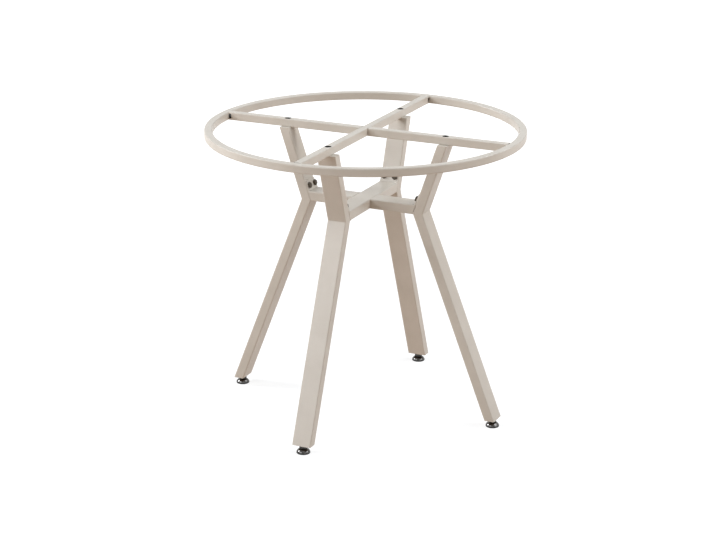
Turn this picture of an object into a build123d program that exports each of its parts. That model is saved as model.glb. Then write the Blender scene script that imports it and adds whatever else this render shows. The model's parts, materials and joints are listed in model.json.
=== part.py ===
from build123d import *
from math import atan2, cos, degrees, radians, sin, sqrt, tan
import os

# Metal frame for a round table, in millimetres, standing on the floor at z = 0.
# A rolled ring carries a cross of four arms. Under each arm a bent leg made of two mitred tubes
# comes inward to a knee and goes outward again to the floor. A flat cross brace is bolted to the
# four legs just above the knees, and each leg stands on a levelling foot.

# Overall places
ring_diameter = 800
steel_height = 717
leg_top_radius = 215
knee_radius = 153.5
knee_rise = 517
foot_radius = 356

# Ring and arms, square tube
ring_tube = 20
ring_wall = 1.5
ring_corner = 2.5
arm_tube = 20
arm_wall = 1.5
arm_corner = 2
drain_slot_length = 7
drain_slot_height = 12
drain_slot_corner = 2

# Legs, rectangular tube
leg_width = 50
leg_depth = 25
leg_wall = 1.5
leg_corner = 3
leg_plate = 4

# Cross brace, the same rectangular tube laid flat, and its end plates
brace_width = 50
brace_height = 25
brace_wall = 1.5
brace_corner = 3
brace_drop = 2
end_plate_width = 50
end_plate_top_width = 40
end_plate_height = 54
end_plate_thickness = 3
end_plate_corner = 6

# M8 fasteners
thread_radius = 4
thread_gap = 0.05
clearance_hole_radius = 4.5
hex_head_flats = 13
hex_head_height = 5.3
hex_head_turn = 30
brace_bolt_length = 16
brace_bolt_pitch = 30
brace_bolt_edge = 15
rivet_nut_radius = 5.5
rivet_nut_length = 14
rivet_nut_bulge = 1.5
rivet_nut_bulge_length = 3
rivet_hole_gap = 0.1
cap_head_radius = 6.5
cap_head_height = 8
cap_socket = 6
cap_socket_depth = 4
top_bolt_length = 16
access_hole_radius = 8.25
weld_nut_flats = 13
weld_nut_height = 6.5
tip_chamfer = 0.8
head_edge = 0.8

# Levelling foot: black pad, pressed metal cup, and a threaded stem with a hexagon
foot_height = 21
pad_radius = 17
pad_height = 3.6
pad_edge = 0.8
pad_boss_height = 1.4
cup_radius = 16.6
cup_skirt = 1.8
cup_height = 8
cup_top_radius = 9
cup_crown = 1
cup_wall = 1.2
stem_hex_flats = 17
stem_hex_edge = 0.8
stem_length = 17
stem_gap = 0.08
pin_radius = 3.6
rivet_head_radius = 6
rivet_head_height = 1.2

# Clearances, and the smallest corner that a tube's inside or a plate is drawn with
curve_gap = 0.1
run_gap = 0.3
stop_gap = 0.2
least_corner = 0.2

# Heights and radii worked out from the driving dimensions
top_height = foot_height + steel_height
arm_bottom = top_height - arm_tube
arm_middle = top_height - arm_tube / 2
knee_height = foot_height + knee_rise
ring_inside = ring_diameter / 2 - ring_tube
lean_up = atan2(leg_top_radius - knee_radius, arm_bottom - knee_height)
lean_down = atan2(foot_radius - knee_radius, knee_height - foot_height)
brace_bottom = knee_height - brace_drop
brace_middle = brace_bottom + brace_height / 2
face_radius = knee_radius - leg_depth / 2 / cos(lean_up) - brace_drop * tan(lean_up)
brace_top_rise = brace_height / cos(lean_up)
bolt_rise = end_plate_height - brace_bolt_edge
far = ring_diameter

ARMS = {"right": 0, "back": 90, "left": 180, "front": 270}
UP = Vector(0, 0, 1)


def radial(turn):
    """Level direction from the table's axis along an arm."""
    return Vector(cos(radians(turn)), sin(radians(turn)), 0)


def sideways(turn):
    """Level direction across an arm."""
    return Vector(-sin(radians(turn)), cos(radians(turn)), 0)


def level_plane(turn, radius, height):
    """Level plane on an arm, x across the arm and y towards the table's axis."""
    return Plane(origin=radial(turn) * radius + UP * height, x_dir=sideways(turn), z_dir=UP)


def upright_plane(turn, radius):
    """Standing plane through a foot's axis, x outward and y up, with its origin on the floor."""
    return Plane(origin=radial(turn) * radius, x_dir=radial(turn), z_dir=-sideways(turn))


def tube_plane(turn, direction):
    """Plane across a leg tube at the knee, x across the arm."""
    knee = radial(turn) * knee_radius + UP * knee_height
    return Plane(origin=knee, x_dir=sideways(turn), z_dir=direction)


def face_plane(turn, proud=0.0):
    """Plane on the upper leg's inner face at the brace's underside, y up the slope, z to the axis."""
    normal = UP * sin(lean_up) - radial(turn) * cos(lean_up)
    origin = radial(turn) * face_radius + UP * brace_bottom + normal * proud
    return Plane(origin=origin, x_dir=-sideways(turn), z_dir=normal)


def up_direction(turn):
    return radial(turn) * sin(lean_up) + UP * cos(lean_up)


def down_direction(turn):
    return radial(turn) * sin(lean_down) - UP * cos(lean_down)


def mitre_plane(turn):
    """Plane that halves the knee's angle, facing up."""
    knee = radial(turn) * knee_radius + UP * knee_height
    return Plane(origin=knee, x_dir=sideways(turn), z_dir=up_direction(turn) - down_direction(turn))


def tube_section(width, height, corner, wall):
    """Hollow rounded section, drawn in the sketch that is open."""
    RectangleRounded(width, height, corner)
    inside_corner = max(corner - wall, least_corner)
    RectangleRounded(width - 2 * wall, height - 2 * wall, inside_corner, mode=Mode.SUBTRACT)


def bolt_places():
    """Places of the two brace bolts on a leg's inner face, for the sketch that is open."""
    return Locations((-brace_bolt_pitch / 2, bolt_rise), (brace_bolt_pitch / 2, bolt_rise))


def save(piece, name):
    piece.part.label = name
    export_step(piece.part, f"parts/{name}.step")


def make_top_ring():
    """The rolled and welded ring, hollow all the way round."""
    with BuildPart() as ring:
        with BuildSketch(Plane.XZ):
            with Locations((ring_diameter / 2 - ring_tube / 2, top_height - ring_tube / 2)):
                tube_section(ring_tube, ring_tube, ring_corner, ring_wall)
        revolve(axis=Axis.Z)
    save(ring, "top_ring")


def drill_arm(turn):
    """Access hole in an arm's top wall and bolt hole in its lower wall, above a leg."""
    with BuildSketch(level_plane(turn, leg_top_radius, top_height)) as access_hole:
        Circle(access_hole_radius)
    extrude(access_hole.sketch, amount=-arm_tube / 2, mode=Mode.SUBTRACT)
    with BuildSketch(level_plane(turn, leg_top_radius, arm_bottom)) as bolt_hole:
        Circle(clearance_hole_radius)
    extrude(bolt_hole.sketch, amount=arm_tube / 2, mode=Mode.SUBTRACT)


def cut_drain_slots(turn, reach):
    """Open slot in each side wall at an arm's outer end, where the wash water runs out before coating."""
    side_wall = Plane(origin=radial(turn) * reach + UP * arm_middle, x_dir=radial(turn), z_dir=-sideways(turn))
    with BuildSketch(side_wall) as slot:
        RectangleRounded(2 * drain_slot_length, drain_slot_height, drain_slot_corner)
    extrude(slot.sketch, amount=arm_tube, both=True, mode=Mode.SUBTRACT)


def make_arms():
    """One tube runs from front to back, and two half tubes are welded to its sides."""
    arm_reach = sqrt(ring_inside**2 - (arm_tube / 2) ** 2) - curve_gap
    with BuildPart() as long_arm:
        with BuildSketch(Plane.XZ):
            with Locations((0, arm_middle)):
                tube_section(arm_tube, arm_tube, arm_corner, arm_wall)
        extrude(amount=arm_reach, both=True)
        for name in ("front", "back"):
            drill_arm(ARMS[name])
            cut_drain_slots(ARMS[name], arm_reach)
    save(long_arm, "arm_front_to_back")
    for name in ("left", "right"):
        turn = ARMS[name]
        start = Plane(origin=radial(turn) * arm_tube / 2 + UP * arm_middle, x_dir=sideways(turn),
                      z_dir=radial(turn))
        with BuildPart() as half_arm:
            with BuildSketch(start):
                tube_section(arm_tube, arm_tube, arm_corner, arm_wall)
            extrude(amount=arm_reach - arm_tube / 2)
            drill_arm(turn)
            cut_drain_slots(turn, arm_reach)
        save(half_arm, f"arm_{name}")


def make_upper_leg(name, turn):
    """Short tube from the knee out and up to the arm, with two holes for the rivet nuts."""
    with BuildPart() as tube:
        with BuildSketch(tube_plane(turn, up_direction(turn))):
            tube_section(leg_width, leg_depth, leg_corner, leg_wall)
        extrude(amount=far, both=True)
        split(bisect_by=Plane.XY.offset(arm_bottom), keep=Keep.BOTTOM)
        split(bisect_by=mitre_plane(turn), keep=Keep.TOP)
        with BuildSketch(face_plane(turn)), bolt_places():
            Circle(rivet_nut_radius + rivet_hole_gap)
        extrude(amount=-leg_depth / 2, mode=Mode.SUBTRACT)
    save(tube, f"upper_leg_{name}")


def make_lower_leg(name, turn):
    """Long tube from the knee out and down to the levelling foot."""
    with BuildPart() as tube:
        with BuildSketch(tube_plane(turn, down_direction(turn))):
            tube_section(leg_width, leg_depth, leg_corner, leg_wall)
        extrude(amount=far, both=True)
        split(bisect_by=mitre_plane(turn), keep=Keep.BOTTOM)
        split(bisect_by=Plane.XY.offset(foot_height), keep=Keep.TOP)
    save(tube, f"lower_leg_{name}")


def make_mouth_plate(label, turn, direction, low, high, hole_place):
    """Plate that closes a leg's mouth from height low to high, with a hole for a bolt or stem."""
    inside = leg_wall + curve_gap
    corner = max(leg_corner - inside, least_corner)
    with BuildPart() as plate:
        with BuildSketch(tube_plane(turn, direction)):
            RectangleRounded(leg_width - 2 * inside, leg_depth - 2 * inside, corner)
        extrude(amount=far, both=True)
        split(bisect_by=Plane.XY.offset(high), keep=Keep.BOTTOM)
        split(bisect_by=Plane.XY.offset(low), keep=Keep.TOP)
        with BuildSketch(level_plane(turn, hole_place, low)):
            Circle(clearance_hole_radius)
        extrude(amount=high - low, mode=Mode.SUBTRACT)
    save(plate, label)


def make_weld_nut(label, turn, radius, height):
    """Hexagon nut welded to a mouth plate, its underside at the given height."""
    with BuildPart() as nut:
        with BuildSketch(level_plane(turn, radius, height)):
            RegularPolygon(weld_nut_flats / 2, 6, major_radius=False)
            Circle(thread_radius, mode=Mode.SUBTRACT)
        extrude(amount=weld_nut_height)
    save(nut, label)


def make_top_bolt(name, turn):
    """Socket head bolt inside the arm: its head sits on the arm's lower wall."""
    seat = arm_bottom + arm_wall
    with BuildPart() as bolt:
        with BuildSketch(level_plane(turn, leg_top_radius, seat)):
            Circle(cap_head_radius)
        extrude(amount=cap_head_height)
        chamfer(bolt.edges().group_by(Axis.Z)[-1], head_edge)
        with BuildSketch(level_plane(turn, leg_top_radius, seat + cap_head_height)):
            RegularPolygon(cap_socket / 2, 6, major_radius=False)
        extrude(amount=-cap_socket_depth, mode=Mode.SUBTRACT)
        with BuildSketch(level_plane(turn, leg_top_radius, seat)):
            Circle(thread_radius - thread_gap)
        extrude(amount=-top_bolt_length)
        chamfer(bolt.edges().group_by(Axis.Z)[0], tip_chamfer)
    save(bolt, f"top_bolt_{name}")


def make_brace():
    """Flat cross at the knees: one tube from front to back, two half tubes, all cut to the legs' lean."""
    with BuildPart() as long_tube:
        with BuildSketch(Plane.XZ):
            with Locations((0, brace_middle)):
                tube_section(brace_width, brace_height, brace_corner, brace_wall)
        extrude(amount=far, both=True)
        for name in ("front", "back"):
            split(bisect_by=face_plane(ARMS[name], end_plate_thickness), keep=Keep.TOP)
    save(long_tube, "brace_front_to_back")
    for name in ("left", "right"):
        turn = ARMS[name]
        start = Plane(origin=radial(turn) * brace_width / 2 + UP * brace_middle, x_dir=sideways(turn),
                      z_dir=radial(turn))
        with BuildPart() as half_tube:
            with BuildSketch(start):
                tube_section(brace_width, brace_height, brace_corner, brace_wall)
            extrude(amount=far)
            split(bisect_by=face_plane(turn, end_plate_thickness), keep=Keep.TOP)
        save(half_tube, f"brace_{name}")


def make_end_plate(name, turn):
    """Plate welded to the brace's end: it lies on the leg's inner face and narrows above the brace."""
    foot_half = end_plate_width / 2
    top_half = end_plate_top_width / 2
    with BuildPart() as plate:
        with BuildSketch(face_plane(turn)) as outline:
            with BuildLine():
                Polyline((-foot_half, 0), (foot_half, 0), (foot_half, brace_top_rise),
                         (top_half, end_plate_height), (-top_half, end_plate_height),
                         (-foot_half, brace_top_rise), close=True)
            make_face()
            fillet(outline.vertices().group_by(Axis.Y)[-1], end_plate_corner)
            with bolt_places():
                Circle(clearance_hole_radius, mode=Mode.SUBTRACT)
        extrude(amount=end_plate_thickness)
    save(plate, f"end_plate_{name}")


def inward_axis(turn):
    """Axis square to the upper leg's inner face, pointing to the table's axis."""
    return Axis(origin=(0, 0, 0), direction=face_plane(turn).z_dir)


def make_brace_bolts(name, turn):
    """Two hexagon head bolts that hold the end plate to the leg, with a flat towards each side."""
    seat = face_plane(turn, end_plate_thickness)
    with BuildPart() as bolts:
        with BuildSketch(seat), bolt_places():
            RegularPolygon(hex_head_flats / 2, 6, major_radius=False, rotation=hex_head_turn)
        extrude(amount=hex_head_height)
        chamfer(bolts.edges().group_by(inward_axis(turn))[-1], head_edge)
        with BuildSketch(seat), bolt_places():
            Circle(thread_radius - thread_gap)
        extrude(amount=-brace_bolt_length)
        chamfer(bolts.edges().group_by(inward_axis(turn))[0], tip_chamfer)
    save(bolts, f"brace_bolts_{name}")


def make_rivet_nuts(name, turn):
    """Two rivet nuts set in the leg's inner wall, each with the bulge that grips the wall from behind."""
    behind_wall = face_plane(turn, -leg_wall - curve_gap)
    with BuildPart() as nuts:
        with BuildSketch(face_plane(turn)), bolt_places():
            Circle(rivet_nut_radius)
        extrude(amount=-rivet_nut_length)
        with BuildSketch(behind_wall), bolt_places():
            Circle(rivet_nut_radius + rivet_nut_bulge)
        extrude(amount=-rivet_nut_bulge_length)
        with BuildSketch(face_plane(turn)), bolt_places():
            Circle(thread_radius)
        extrude(amount=-rivet_nut_length, mode=Mode.SUBTRACT)
    save(nuts, f"rivet_nuts_{name}")


def make_foot_pad(name, turn):
    """Black moulded pad that meets the floor, with a boss up inside the cup."""
    boss_radius = cup_radius - cup_wall - curve_gap
    with BuildPart() as pad:
        with BuildSketch(level_plane(turn, foot_radius, 0)):
            Circle(pad_radius)
        extrude(amount=pad_height)
        chamfer(pad.edges().group_by(Axis.Z)[0], pad_edge)
        with BuildSketch(level_plane(turn, foot_radius, pad_height)):
            Circle(boss_radius)
        extrude(amount=pad_boss_height)
    save(pad, f"foot_pad_{name}")


def make_foot_cup(name, turn):
    """Pressed metal cup over the pad: a short skirt, a curved shoulder and a flat top with a hole."""
    hole_radius = pin_radius + run_gap
    top = pad_height + cup_height
    shoulder = pad_height + cup_skirt
    with BuildPart() as cup:
        with BuildSketch(upright_plane(turn, foot_radius)):
            with BuildLine():
                Polyline((cup_radius, shoulder), (cup_radius, pad_height), (cup_radius - cup_wall, pad_height),
                         (cup_radius - cup_wall, shoulder))
                SagittaArc((cup_radius - cup_wall, shoulder), (cup_top_radius, top - cup_wall), -cup_crown)
                Polyline((cup_top_radius, top - cup_wall), (hole_radius, top - cup_wall), (hole_radius, top),
                         (cup_top_radius, top))
                SagittaArc((cup_top_radius, top), (cup_radius, shoulder), cup_crown)
            make_face()
        revolve(axis=Axis(origin=radial(turn) * foot_radius, direction=(0, 0, 1)))
    save(cup, f"foot_cup_{name}")


def make_foot_stem(name, turn):
    """Threaded stem with a hexagon, riveted into the cup so that it can turn there."""
    cup_top = pad_height + cup_height
    hex_bottom = cup_top + run_gap
    hex_top = foot_height - stop_gap
    rivet_top = cup_top - cup_wall - run_gap
    with BuildPart() as stem:
        with BuildSketch(level_plane(turn, foot_radius, hex_bottom)):
            RegularPolygon(stem_hex_flats / 2, 6, major_radius=False)
        extrude(amount=hex_top - hex_bottom)
        chamfer(stem.edges().group_by(Axis.Z)[-1] + stem.edges().group_by(Axis.Z)[0], stem_hex_edge)
        with BuildSketch(level_plane(turn, foot_radius, hex_top)):
            Circle(thread_radius - stem_gap)
        extrude(amount=stem_length)
        chamfer(stem.edges().group_by(Axis.Z)[-1], tip_chamfer)
        with BuildSketch(level_plane(turn, foot_radius, rivet_top)):
            Circle(pin_radius)
        extrude(amount=hex_bottom - rivet_top)
        with BuildSketch(level_plane(turn, foot_radius, rivet_top - rivet_head_height)):
            Circle(rivet_head_radius)
        extrude(amount=rivet_head_height)
    save(stem, f"foot_stem_{name}")


os.makedirs("parts", exist_ok=True)
make_top_ring()
make_arms()
make_brace()
for arm, angle in ARMS.items():
    make_upper_leg(arm, angle)
    make_lower_leg(arm, angle)
    make_mouth_plate(f"leg_top_plate_{arm}", angle, up_direction(angle), arm_bottom - leg_plate, arm_bottom,
                     leg_top_radius)
    make_weld_nut(f"leg_top_nut_{arm}", angle, leg_top_radius, arm_bottom - leg_plate - weld_nut_height)
    make_top_bolt(arm, angle)
    make_end_plate(arm, angle)
    make_brace_bolts(arm, angle)
    make_rivet_nuts(arm, angle)
    make_mouth_plate(f"leg_foot_plate_{arm}", angle, down_direction(angle), foot_height, foot_height + leg_plate,
                     foot_radius)
    make_weld_nut(f"leg_foot_nut_{arm}", angle, foot_radius, foot_height + leg_plate)
    make_foot_pad(arm, angle)
    make_foot_cup(arm, angle)
    make_foot_stem(arm, angle)
print("top at", top_height, "leans", round(degrees(lean_up), 2), round(degrees(lean_down), 2))
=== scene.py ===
# %% [markdown]
# # Dressing a metal frame for a round table
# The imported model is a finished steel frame: a rolled ring on a cross of tubes, four bent legs, a
# flat brace and four levelling feet. Its solids are right in size and place, but they are bare.
# This lesson gives them their finish, adds what a welder and a thread cutter leave behind, and
# sets up a floor, soft light and a camera. The solids themselves are never moved.

# %% Load the frame
import json
from math import ceil, pi, radians

import bmesh
import bpy
from mathutils import Matrix, Vector


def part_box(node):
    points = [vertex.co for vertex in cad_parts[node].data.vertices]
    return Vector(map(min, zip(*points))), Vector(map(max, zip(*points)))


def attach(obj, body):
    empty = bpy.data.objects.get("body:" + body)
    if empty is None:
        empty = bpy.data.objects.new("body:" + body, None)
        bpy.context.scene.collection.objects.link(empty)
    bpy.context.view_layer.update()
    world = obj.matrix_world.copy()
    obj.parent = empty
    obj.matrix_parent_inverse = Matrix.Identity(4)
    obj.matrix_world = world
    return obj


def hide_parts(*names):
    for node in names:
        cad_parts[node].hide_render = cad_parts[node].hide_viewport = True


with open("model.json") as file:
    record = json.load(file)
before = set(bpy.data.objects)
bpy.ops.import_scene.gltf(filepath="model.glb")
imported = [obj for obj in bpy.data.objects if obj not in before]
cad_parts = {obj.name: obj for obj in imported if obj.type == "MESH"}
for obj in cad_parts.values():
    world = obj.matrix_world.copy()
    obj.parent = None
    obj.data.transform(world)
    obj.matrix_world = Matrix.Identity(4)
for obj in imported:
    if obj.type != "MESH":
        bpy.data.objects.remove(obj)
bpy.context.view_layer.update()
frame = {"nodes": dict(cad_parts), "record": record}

MM = 0.001
SIDES = ("right", "back", "left", "front")
nodes = frame["nodes"]

# %% [markdown]
# ## Where things are
# Each arm of the cross has the same pieces, so every place is worked out once and turned round the
# table's upright axis. `across` is the level direction over an arm, `outward` points along it.
# The heights and reaches are read from the boxes of the solids, so nothing is typed twice.

# %% Directions and measured places
UP = Vector((0, 0, 1))
QUARTER = pi / 2
quarter_turn = {side: Matrix.Rotation(QUARTER * number, 3, "Z") for number, side in enumerate(SIDES)}
outward = {side: quarter_turn[side] @ Vector((1, 0, 0)) for side in SIDES}
across = {side: UP.cross(outward[side]) for side in SIDES}

arm_low, arm_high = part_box("arm_right")
arm_half = (arm_high.y - arm_low.y) / 2
arm_reach = arm_high.x
brace_low, brace_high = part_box("brace_right")
brace_half = (brace_high.y - brace_low.y) / 2
print("arm reach", round(arm_reach, 4), "brace reach", round(brace_high.x, 4))


def largest_face_normal(node, towards):
    """Normal of the large flat face of a solid that looks most nearly towards a direction."""
    faces = nodes[node].data.polygons
    best = max(faces, key=lambda face: face.area * max(face.normal.dot(towards), 0) ** 8)
    return best.normal.copy()


plate_normal = largest_face_normal("end_plate_right", Vector((-1, 0, 0.3)))
print("the end plates lean", round(90 - plate_normal.angle(UP) * 180 / pi, 2), "degrees")

# %% [markdown]
# ## Finishes
# Every finish is a Principled shader fed by noise in object coordinates, so the grain keeps its
# real size in metres and stays on the steel when a piece moves. A few small helpers keep the cells
# short: they wire a noise, carry its grey into another range of numbers, mix two colours, do
# arithmetic and stack bumps.

# %% Helpers for node materials
EVEN = (1, 1, 1)
NOISE_RANGE = (0.3, 0.7)


def start_material(name):
    material = bpy.data.materials.new(name)
    material.use_nodes = True
    tree = material.node_tree
    return material, tree, tree.nodes["Principled BSDF"]


def noise(tree, scale, detail=2.0, stretch=EVEN):
    """Noise with about `scale` lumps a metre, read in object coordinates."""
    place = tree.nodes.new("ShaderNodeTexCoord")
    mapping = tree.nodes.new("ShaderNodeMapping")
    mapping.inputs["Scale"].default_value = stretch
    texture = tree.nodes.new("ShaderNodeTexNoise")
    texture.inputs["Scale"].default_value = scale
    texture.inputs["Detail"].default_value = detail
    tree.links.new(place.outputs["Object"], mapping.inputs["Vector"])
    tree.links.new(mapping.outputs["Vector"], texture.inputs["Vector"])
    return texture.outputs["Fac"]


def ranged(tree, value, before, after):
    """Carries a value from one range, a pair of numbers, to another and stops at both ends."""
    node = tree.nodes.new("ShaderNodeMapRange")
    for name, number in zip(("From Min", "From Max", "To Min", "To Max"), (*before, *after)):
        node.inputs[name].default_value = number
    tree.links.new(value, node.inputs["Value"])
    return node.outputs["Result"]


def spread(tree, value, low, high):
    """Turns a noise, which mostly stays in the middle of its range, into numbers from low to high."""
    return ranged(tree, value, NOISE_RANGE, (low, high))


def mix(tree, factor, first, second):
    """Colour between two colours; each is three numbers or another node's output."""
    node = tree.nodes.new("ShaderNodeMix")
    node.data_type = "RGBA"
    for socket, colour in ((node.inputs["A"], first), (node.inputs["B"], second)):
        if isinstance(colour, tuple):
            socket.default_value = (*colour, 1)
        else:
            tree.links.new(colour, socket)
    tree.links.new(factor, node.inputs["Factor"])
    return node.outputs["Result"]


def blend(tree, value, first, second):
    """Colour between two colours, led by a noise."""
    return mix(tree, spread(tree, value, 0, 1), first, second)


def calc(tree, operation, *values):
    """One step of arithmetic on numbers or other nodes' outputs."""
    node = tree.nodes.new("ShaderNodeMath")
    node.operation = operation
    for socket, value in zip(node.inputs, values):
        if isinstance(value, (int, float)):
            socket.default_value = value
        else:
            tree.links.new(value, socket)
    return node.outputs["Value"]


def roughen(tree, shader, heights):
    """Stacks bumps, each a noise output, a strength and a height in metres, on a shader."""
    normal = None
    for value, strength, height in heights:
        bump = tree.nodes.new("ShaderNodeBump")
        bump.inputs["Strength"].default_value = strength
        bump.inputs["Distance"].default_value = height
        tree.links.new(value, bump.inputs["Height"])
        if normal:
            tree.links.new(normal, bump.inputs["Normal"])
        normal = bump.outputs["Normal"]
    tree.links.new(normal, shader.inputs["Normal"])


# %% [markdown]
# ### Powder coat
# Powder is sprayed on dry and melts into a skin that is even in colour but never quite smooth: low
# waves a few millimetres wide, called orange peel, with a much finer grain on top. The colour is a
# pale warm beige that drifts a little where the film is thicker. Powder does not reach far into a
# tube, so the arms stay bare steel inside and round the drilled edge of each hole. There the colour
# is near black: bare steel together with painted shade inside the tube, so their holes and slots
# look black. The hollow is found by place, from the same boxes as the welds below.

# %% Powder coat
COAT_THIN = (0.576, 0.522, 0.452)
COAT_THICK = (0.624, 0.571, 0.501)
COAT_ROUGHNESS = (0.34, 0.46)
RESIN_IOR = 1.6
ORANGE_PEEL = (0.35, 0.12 * MM)
GRAIN = (0.25, 0.03 * MM)
# Near black: bare steel darkened by painted shade inside the arm tubes.
BARE_STEEL_AND_SHADE = (0.020, 0.017, 0.014)
ARM_WALL = 1.5 * MM
COATED_EDGE = 0.3 * MM
SIDE_MARGIN = 0.05 * MM
END_MARGIN = 1 * MM


def hollow_of_arms(tree):
    """1 in the hollow of the arm tubes and on the edges of their holes, 0 everywhere else."""
    place = tree.nodes.new("ShaderNodeTexCoord").outputs["Object"]
    split = tree.nodes.new("ShaderNodeSeparateXYZ")
    tree.links.new(place, split.inputs["Vector"])
    x, y, z = (split.outputs[axis] for axis in "XYZ")
    beside = calc(tree, "MINIMUM", calc(tree, "ABSOLUTE", x), calc(tree, "ABSOLUTE", y))
    height = calc(tree, "ABSOLUTE", calc(tree, "SUBTRACT", z, (arm_low.z + arm_high.z) / 2))
    out = calc(tree, "SQRT", calc(tree, "ADD", calc(tree, "MULTIPLY", x, x), calc(tree, "MULTIPLY", y, y)))
    between_sides = calc(tree, "LESS_THAN", beside, arm_half - ARM_WALL + SIDE_MARGIN)
    under_top = calc(tree, "LESS_THAN", height, arm_half - COATED_EDGE)
    in_ring = calc(tree, "LESS_THAN", out, arm_reach + END_MARGIN)
    return calc(tree, "MULTIPLY", calc(tree, "MULTIPLY", between_sides, under_top), in_ring)


def powder_coat():
    material, tree, shader = start_material("powder_coat")
    film = blend(tree, noise(tree, 14, 4), COAT_THIN, COAT_THICK)
    # Inside the arms the beige gives way to near black, painted shade in the hollow over bare steel.
    tree.links.new(mix(tree, hollow_of_arms(tree), film, BARE_STEEL_AND_SHADE), shader.inputs["Base Color"])
    tree.links.new(spread(tree, noise(tree, 260, 2), *COAT_ROUGHNESS), shader.inputs["Roughness"])
    shader.inputs["IOR"].default_value = RESIN_IOR
    roughen(tree, shader, [(noise(tree, 330, 1), *ORANGE_PEEL), (noise(tree, 2400, 2), *GRAIN)])
    return material


# %% [markdown]
# ### Black fasteners
# The bolts are blackened and oiled. The oxide film drinks most of the light, so it has hardly any
# gloss, and it turns brown where tools and threads have rubbed it.

# %% Black oxide
OXIDE_DARK = (0.034, 0.024, 0.015)
OXIDE_RUBBED = (0.095, 0.070, 0.045)
OXIDE_ROUGHNESS = (0.42, 0.60)
OXIDE_GRAIN = (0.3, 0.02 * MM)
OXIDE_IOR = 1.35


def black_oxide():
    material, tree, shader = start_material("black_oxide")
    film = blend(tree, noise(tree, 700, 5), OXIDE_DARK, OXIDE_RUBBED)
    tree.links.new(film, shader.inputs["Base Color"])
    tree.links.new(spread(tree, noise(tree, 900, 3), *OXIDE_ROUGHNESS), shader.inputs["Roughness"])
    shader.inputs["IOR"].default_value = OXIDE_IOR
    roughen(tree, shader, [(noise(tree, 3000, 2), *OXIDE_GRAIN)])
    return material


# %% [markdown]
# ### Metal platings
# The nuts inside the tubes are zinc plated, with soft cloudy patches. The cups over the pads are
# pressed sheet with a black nickel plating: a dark mirror, crossed by fine drawing marks that run up
# from the rim. The stems are plated dark too, but duller. All three are the same kind of shader, a
# metal whose colour and polish both drift, so one function makes them from their numbers.

# %% The three platings
PLATINGS = {
    "zinc": {"dark": (0.42, 0.43, 0.44), "light": (0.62, 0.62, 0.60), "polish": (0.28, 0.45), "lumps": 350},
    "black_nickel": {"dark": (0.040, 0.038, 0.037), "light": (0.150, 0.145, 0.140), "polish": (0.05, 0.12),
                     "lumps": 160},
    "dark_plate": {"dark": (0.030, 0.028, 0.026), "light": (0.075, 0.070, 0.065), "polish": (0.24, 0.40),
                   "lumps": 600},
}
DRAWING_MARKS = (1, 1, 0.05)
MARK_DEPTH = (0.2, 0.02 * MM)


def plating(name, stretch=EVEN):
    look = PLATINGS[name]
    material, tree, shader = start_material(name)
    tone = blend(tree, noise(tree, look["lumps"], 4), look["dark"], look["light"])
    marks = noise(tree, 1100, 3, stretch)
    tree.links.new(tone, shader.inputs["Base Color"])
    tree.links.new(spread(tree, marks, *look["polish"]), shader.inputs["Roughness"])
    shader.inputs["Metallic"].default_value = 1
    roughen(tree, shader, [(marks, *MARK_DEPTH)])
    return material


# %% [markdown]
# ### Moulded pads
# The pads are black plastic. Their mould was blasted, which leaves a dull, even grain.

# %% Moulded black plastic
PAD_DARK = (0.012, 0.012, 0.012)
PAD_LIGHT = (0.026, 0.025, 0.024)
PAD_ROUGHNESS = (0.5, 0.68)
PAD_GRAIN = (0.5, 0.06 * MM)


def moulded_black():
    material, tree, shader = start_material("moulded_black")
    tree.links.new(blend(tree, noise(tree, 300, 3), PAD_DARK, PAD_LIGHT), shader.inputs["Base Color"])
    tree.links.new(spread(tree, noise(tree, 1200, 2), *PAD_ROUGHNESS), shader.inputs["Roughness"])
    roughen(tree, shader, [(noise(tree, 1600, 3), *PAD_GRAIN)])
    return material


# %% Give each solid the finish of its slot
FINISHES = {
    "powder_coat": powder_coat(),
    "black_fastener": black_oxide(),
    "plain_zinc": plating("zinc"),
    "polished_cup": plating("black_nickel", DRAWING_MARKS),
    "dark_stem": plating("dark_plate"),
    "black_pad": moulded_black(),
}

for row in frame["record"]["subparts"]:
    mesh = nodes[row["node"]].data
    mesh.materials.clear()
    mesh.materials.append(FINISHES[row["material_slot"]])
print("finishes:", ", ".join(FINISHES))

# %% [markdown]
# ## Weld beads
# Tubes of this kind are joined by wire welding. Where two faces meet in a corner the bead stays as
# it was laid, a row of overlapping ripples. Where the table top or an eye will pass, it is ground
# flush. A bead is made here from a plain rod: long edges are cut into rings, each ring is squeezed
# or swollen a little, and the rod is laid half sunk in the corner. A ground bead is cut off flat at
# the face instead. All beads of one joint are one piece, because the weld is one run of metal.

# %% A bead of weld metal
RIPPLE_PITCH = 1.5 * MM
RINGS_A_RIPPLE = 3
RIPPLE_SWELL = (0.90, 1.04, 1.0)
END_SWELL = 0.6
BEAD_SIDES = 10


def add_bead(bm, start, end, out, width, height, rippled=True):
    """Bead from start to end. `out` is the way it bulges from the seam."""
    run = end - start
    rings = max(2, ceil(run.length / RIPPLE_PITCH)) * RINGS_A_RIPPLE
    laid_before = set(bm.verts)
    rod = bmesh.ops.create_cone(bm, cap_ends=True, segments=BEAD_SIDES, radius1=1, radius2=1, depth=1)
    long_edges = [edge for edge in {e for v in rod["verts"] for e in v.link_edges}
                  if abs(edge.verts[0].co.z - edge.verts[1].co.z) > 0.5]
    bmesh.ops.subdivide_edges(bm, edges=long_edges, cuts=rings - 1)
    verts = set(bm.verts) - laid_before
    for vert in verts:
        along = vert.co.z + 0.5
        ring = round(along * rings)
        swell = RIPPLE_SWELL[ring % RINGS_A_RIPPLE] if rippled else 1.0
        if ring in (0, rings):
            swell *= END_SWELL
        vert.co.x *= swell * width / 2
        vert.co.y *= swell * height
        vert.co.z = along * run.length
    forward = run.normalized()
    side = out.cross(forward)
    turned = Matrix((side, out, forward)).transposed().to_4x4()
    bmesh.ops.transform(bm, verts=list(verts), matrix=Matrix.Translation(start) @ turned)
    return verts


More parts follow.
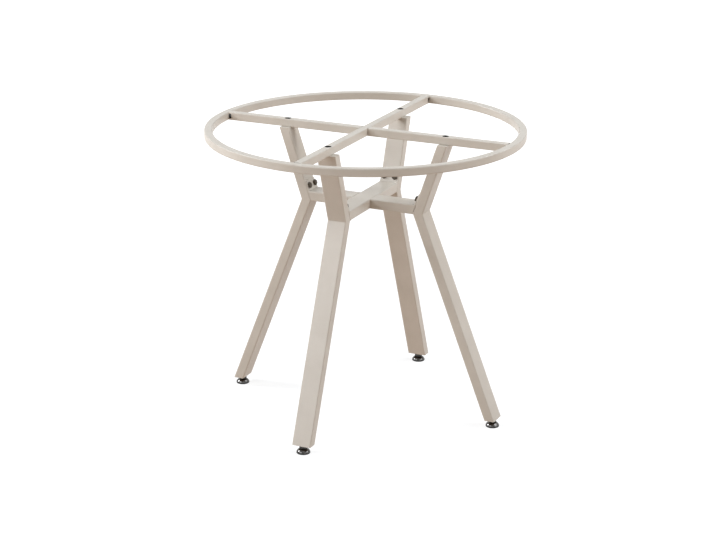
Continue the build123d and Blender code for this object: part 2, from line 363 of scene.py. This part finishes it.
def finish_piece(bm, name, slot, body, smooth_angle=35):
    """Makes a bmesh a named piece that rides on a body and takes a slot's finish."""
    bmesh.ops.recalc_face_normals(bm, faces=bm.faces)
    mesh = bpy.data.meshes.new(name)
    bm.to_mesh(mesh)
    bm.free()
    mesh.materials.append(FINISHES[slot])
    mesh.shade_smooth()
    mesh.set_sharp_from_angle(angle=radians(smooth_angle))
    piece = bpy.data.objects.new(name, mesh)
    bpy.context.scene.collection.objects.link(piece)
    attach(piece, body)
    print(name, len(mesh.polygons), "faces")
    return piece


# %% [markdown]
# ### The arms in the ring and at the cross
# Each arm's end butts against the ring. The seams above and below lie between rounded tube corners,
# so the weld fills that groove, and it is ground off on top because the table top lies there. The
# arms' side walls are slotted at the ring and stay open. At the cross the half arms meet the long
# one with a bead in each upright corner too.

# %% Welds of the arms
BEAD = 3.4 * MM
BEAD_RISE = 0.45 * BEAD
BEAD_END = 1.5 * MM
GROOVE = 4.6 * MM
GROOVE_DEPTH = 1.9 * MM
GROOVE_FILL = 1.3 * GROOVE_DEPTH
UNDER_DEPTH = 0.7 * GROOVE_DEPTH


def weld_butt(bm, side, reach, half, low, high, facing, corners=True):
    """Welds round a square tube's end, `reach` along an arm, against a face that looks `facing`."""
    centre = outward[side] * reach
    for hand in (-1, 1) if corners else ():
        corner = centre + across[side] * hand * half
        out = (facing + across[side] * hand).normalized()
        foot, head = corner + UP * (low + BEAD_END), corner + UP * (high - BEAD_END)
        add_bead(bm, foot, head, out, BEAD, BEAD_RISE)
    span = across[side] * (half - BEAD_END / 2)
    for level, out, deep in ((high, UP, GROOVE_DEPTH), (low, -UP, UNDER_DEPTH)):
        middle = centre + UP * (level - out.z * deep)
        on_top = out.z > 0
        verts = add_bead(bm, middle - span, middle + span, out, GROOVE, GROOVE_FILL, rippled=not on_top)
        if on_top:
            grind_flush(bm, verts, level)


def grind_flush(bm, verts, level):
    """Cuts a bead off level and closes the cut."""
    faces = {face for vert in verts for face in vert.link_faces}
    edges = {edge for face in faces for edge in face.edges}
    cut = bmesh.ops.bisect_plane(bm, geom=[*verts, *edges, *faces], dist=1e-7, plane_co=UP * level,
                                 plane_no=UP, clear_outer=True)
    rim = [item for item in cut["geom_cut"] if isinstance(item, bmesh.types.BMEdge)]
    bmesh.ops.edgeloop_fill(bm, edges=rim)


welds = bmesh.new()
for side in SIDES:
    weld_butt(welds, side, arm_reach, arm_half, arm_low.z, arm_high.z, -outward[side], corners=False)
finish_piece(welds, "welds_ring", "powder_coat", "frame")

welds = bmesh.new()
for side in ("right", "left"):
    weld_butt(welds, side, arm_half, arm_half, arm_low.z, arm_high.z, outward[side])
finish_piece(welds, "welds_cross", "powder_coat", "frame")

# %% [markdown]
# ### The brace
# The flat brace is put together like the cross above it, from one long tube and two halves. Each
# of its four ends is cut to the slope of its leg and welded to a plate. There the bead lies on top,
# in the corner between the tube and the plate.

# %% Welds of the brace
PLATE_BEAD = 1.2 * BEAD
PLATE_BEAD_RISE = 0.55 * BEAD

welds = bmesh.new()
for side in ("right", "left"):
    weld_butt(welds, side, brace_half, brace_half, brace_low.z, brace_high.z, outward[side])
finish_piece(welds, "welds_brace", "powder_coat", "frame")

welds = bmesh.new()
for side in SIDES:
    face = quarter_turn[side] @ plate_normal
    middle = outward[side] * brace_high.x + UP * brace_high.z
    span = across[side] * (brace_half - BEAD_END)
    add_bead(welds, middle - span, middle + span, (face + UP).normalized(), PLATE_BEAD, PLATE_BEAD_RISE)
finish_piece(welds, "welds_end_plates", "powder_coat", "frame")

# %% [markdown]
# ## Threaded stems
# Each levelling foot has a stem with an M8 thread, and some of it shows once the foot is wound out.
# The thread could be painted on with a bump, but then its outline stays straight. Here one tooth's
# outline is spun round the stem while it climbs by one pitch a turn, and the ends are cut off square.
# Below it come the hexagon for a spanner, a pin through the cup and a riveted head inside the cup.

# %% Thread, hexagon and rivet
PITCH = 1.25 * MM
THREAD_DEPTH = 0.61 * PITCH
CREST_RADIUS = 3.92 * MM
THREAD_STEPS = 28
PIN_RADIUS = 3.6 * MM
RIVET_RADIUS = 6 * MM
RIVET_HEIGHT = 1.2 * MM
RIVET_EDGE = 0.3 * MM
HEX_FLATS = 17 * MM
HEX_EDGE = 0.8 * MM
HEX_CORNERS = HEX_FLATS / 3**0.5
GAP_TO_CUP = 0.3 * MM
GAP_TO_LEG = 0.2 * MM
OVERLAP = 0.5 * MM


def add_thread(bm, low, high, crest):
    """Screw thread about the z axis from low to high, closed at both ends."""
    root = crest - THREAD_DEPTH
    turns = ceil((high - low) / PITCH) + 2
    # The tooth, as radius and share of a pitch: a flat root, a flank, a narrow crest and a flank.
    tooth = [(root, 0), (root, 0.25), (crest, 0.5625), (crest, 0.6875), (root, 1)]
    points = [bm.verts.new((radius, 0, low + (share - 1) * PITCH)) for radius, share in tooth]
    edges = [bm.edges.new(pair) for pair in zip(points, points[1:])]
    bmesh.ops.spin(bm, geom=points + edges, cent=(0, 0, 0), axis=UP, dvec=UP * PITCH / THREAD_STEPS,
                   angle=2 * pi * turns, steps=THREAD_STEPS * turns, use_merge=False)
    bmesh.ops.remove_doubles(bm, verts=bm.verts, dist=0.01 * MM)
    for level, normal in ((low, -UP), (high, UP)):
        cut = bmesh.ops.bisect_plane(bm, geom=[*bm.verts, *bm.edges, *bm.faces], dist=1e-7,
                                     plane_co=UP * level, plane_no=normal, clear_outer=True)
        rim = [item for item in cut["geom_cut"] if isinstance(item, bmesh.types.BMEdge)]
        bmesh.ops.edgeloop_fill(bm, edges=rim)


def add_disc(bm, radius, low, high, segments=40, edge=0.0):
    """Upright cylinder or prism between two heights, with its rims bevelled by `edge`."""
    place = Matrix.Translation(UP * (low + high) / 2)
    made = bmesh.ops.create_cone(bm, cap_ends=True, segments=segments, radius1=radius, radius2=radius,
                                 depth=high - low, matrix=place)
    if edge:
        rims = [e for e in {e for v in made["verts"] for e in v.link_edges}
                if abs(e.verts[0].co.z - e.verts[1].co.z) < 1e-6]
        bmesh.ops.bevel(bm, geom=rims, offset=edge, affect="EDGES", segments=3, profile=0.5, material=-1)


def make_stem(side):
    node = f"foot_stem_{side}"
    low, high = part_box(node)
    axis = (low + high) / 2
    cup_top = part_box(f"foot_cup_{side}")[1].z
    hex_low = cup_top + GAP_TO_CUP
    hex_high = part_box(f"lower_leg_{side}")[0].z - GAP_TO_LEG
    bm = bmesh.new()
    add_thread(bm, hex_high - OVERLAP, high.z, CREST_RADIUS)
    add_disc(bm, HEX_CORNERS, hex_low, hex_high, segments=6, edge=HEX_EDGE)
    add_disc(bm, PIN_RADIUS, low.z + RIVET_HEIGHT / 2, hex_low + OVERLAP)
    add_disc(bm, RIVET_RADIUS, low.z, low.z + RIVET_HEIGHT, edge=RIVET_EDGE)
    bmesh.ops.translate(bm, verts=bm.verts, vec=(axis.x, axis.y, 0))
    stem = finish_piece(bm, f"stem_{side}_threaded", "dark_stem", f"stem_{side}")
    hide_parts(node)


for side in SIDES:
    make_stem(side)

# %% [markdown]
# ## Floor, light and camera
# A product on white needs a floor that looks white yet still takes a shadow. The floor is a pale
# matt sheet. For rays that come from the camera, or by way of a mirror, it also glows, so that its
# lit part reaches white while the shaded part stays darker. Farther out, where the lamps are weak,
# the glow alone makes it white. Light that fills the shadows meets an even, dimmer and warm glow
# instead, as from light wood, because the frame's shaded sides are warm. The world has two levels in
# the same way: white for what sees it directly, and faint for what fills.

# %% White floor that keeps a shadow
FLOOR_RADIUS = 25.0
FLOOR_ROUGHNESS = 0.9
FLOOR_SEEN = (0.36, 0.36, 0.36)
FLOOR_FILL = (0.500, 0.362, 0.264)
FLOOR_GLOW = (0.72, 1.0)
GLOW_RISES = (1.2, 3.0)
WORLD_FILL = 0.072
BLACK = (0.0, 0.0, 0.0)


def seen_directly(tree):
    """1 for rays from the camera, off a gloss or through glass, and 0 for light that fills."""
    paths = tree.nodes.new("ShaderNodeLightPath").outputs
    mirrored = calc(tree, "MAXIMUM", paths["Is Glossy Ray"], paths["Is Transmission Ray"])
    return calc(tree, "MAXIMUM", paths["Is Camera Ray"], mirrored)


def make_floor():
    material, tree, shader = start_material("pale_floor")
    direct = seen_directly(tree)
    place = tree.nodes.new("ShaderNodeTexCoord").outputs["Object"]
    length = tree.nodes.new("ShaderNodeVectorMath")
    length.operation = "LENGTH"
    tree.links.new(place, length.inputs[0])
    glow = ranged(tree, length.outputs["Value"], GLOW_RISES, FLOOR_GLOW)
    tree.links.new(mix(tree, direct, BLACK, FLOOR_SEEN), shader.inputs["Base Color"])
    tree.links.new(mix(tree, direct, FLOOR_FILL, glow), shader.inputs["Emission Color"])
    shader.inputs["Emission Strength"].default_value = 1
    shader.inputs["Roughness"].default_value = FLOOR_ROUGHNESS
    bm = bmesh.new()
    bmesh.ops.create_circle(bm, cap_ends=True, segments=96, radius=FLOOR_RADIUS)
    mesh = bpy.data.meshes.new("floor")
    bm.to_mesh(mesh)
    bm.free()
    mesh.materials.append(material)
    floor = bpy.data.objects.new("floor", mesh)
    bpy.context.scene.collection.objects.link(floor)


def make_world():
    world = bpy.data.worlds.new("white_room")
    world.use_nodes = True
    bpy.context.scene.world = world
    tree = world.node_tree
    background = tree.nodes["Background"]
    background.inputs["Color"].default_value = (1, 1, 1, 1)
    strength = ranged(tree, seen_directly(tree), (0, 1), (WORLD_FILL, 1))
    tree.links.new(strength, background.inputs["Strength"])


make_floor()
make_world()
print("floor", 2 * FLOOR_RADIUS, "m across, its glow rises to", FLOOR_GLOW[1], "by", GLOW_RISES[1], "m")

# %% [markdown]
# ### Lamps
# The photograph's light comes mostly from the left: tops and left faces are bright, and the arms
# throw a narrow shadow on the ring to their right. So the key lamp is fairly small and stands at the
# left, a little towards the camera. Three broad lamps fill in from the near left, the right and high
# at the far right. Their strengths were found by comparing the mean colour of each face in the
# photograph and the render.

# %% Lamps
AIM = Vector((0, 0, 0.45))
LAMP_DISTANCE = 4.5
DAYLIGHT = (0.924, 0.961, 1.0)
# Each lamp: the way it stands from the frame in degrees, measured from +X towards +Y, its height in
# degrees, its watts and its side in metres.
LAMPS = {
    "key_left": (-165, 30, 132, 1.1),
    "front_left": (-115, 25, 82, 2.5),
    "right": (0, 30, 63, 2.5),
    "high_right": (30, 50, 109, 2.5),
}

for name, (heading, height, watts, size) in LAMPS.items():
    lamp = bpy.data.lights.new(name, "AREA")
    lamp.size = size
    lamp.energy = watts
    lamp.color = DAYLIGHT
    holder = bpy.data.objects.new(name, lamp)
    bpy.context.scene.collection.objects.link(holder)
    turn = Matrix.Rotation(radians(heading), 3, "Z") @ Matrix.Rotation(-radians(height), 3, "Y")
    holder.location = AIM + turn @ Vector((LAMP_DISTANCE, 0, 0))
    holder.rotation_euler = (AIM - holder.location).to_track_quat("-Z", "Y").to_euler()
    print(name, "stands at", [round(x, 2) for x in holder.location])

# %% [markdown]
# ### Camera
# The camera stands about five metres away, to the right of the front and looking down, with a long
# lens. Its place was found by fitting the frame's own sizes to what the photograph shows.

# %% Camera
EYE = Vector((2.018, -4.409, 1.9456))
HEADING = radians(24.800)
TILT_DOWN = radians(18.062)
ROLL = radians(0.208)
LENS = 100.934
SENSOR = 36

camera = bpy.data.objects.new("camera", bpy.data.cameras.new("camera"))
bpy.context.scene.collection.objects.link(camera)
camera.data.lens = LENS
camera.data.sensor_width = SENSOR
aimed = Matrix.Rotation(HEADING, 4, "Z") @ Matrix.Rotation(QUARTER - TILT_DOWN, 4, "X")
camera.matrix_world = Matrix.Translation(EYE) @ aimed @ Matrix.Rotation(ROLL, 4, "Z")
bpy.context.scene.camera = camera
bpy.context.scene.view_settings.view_transform = "Standard"
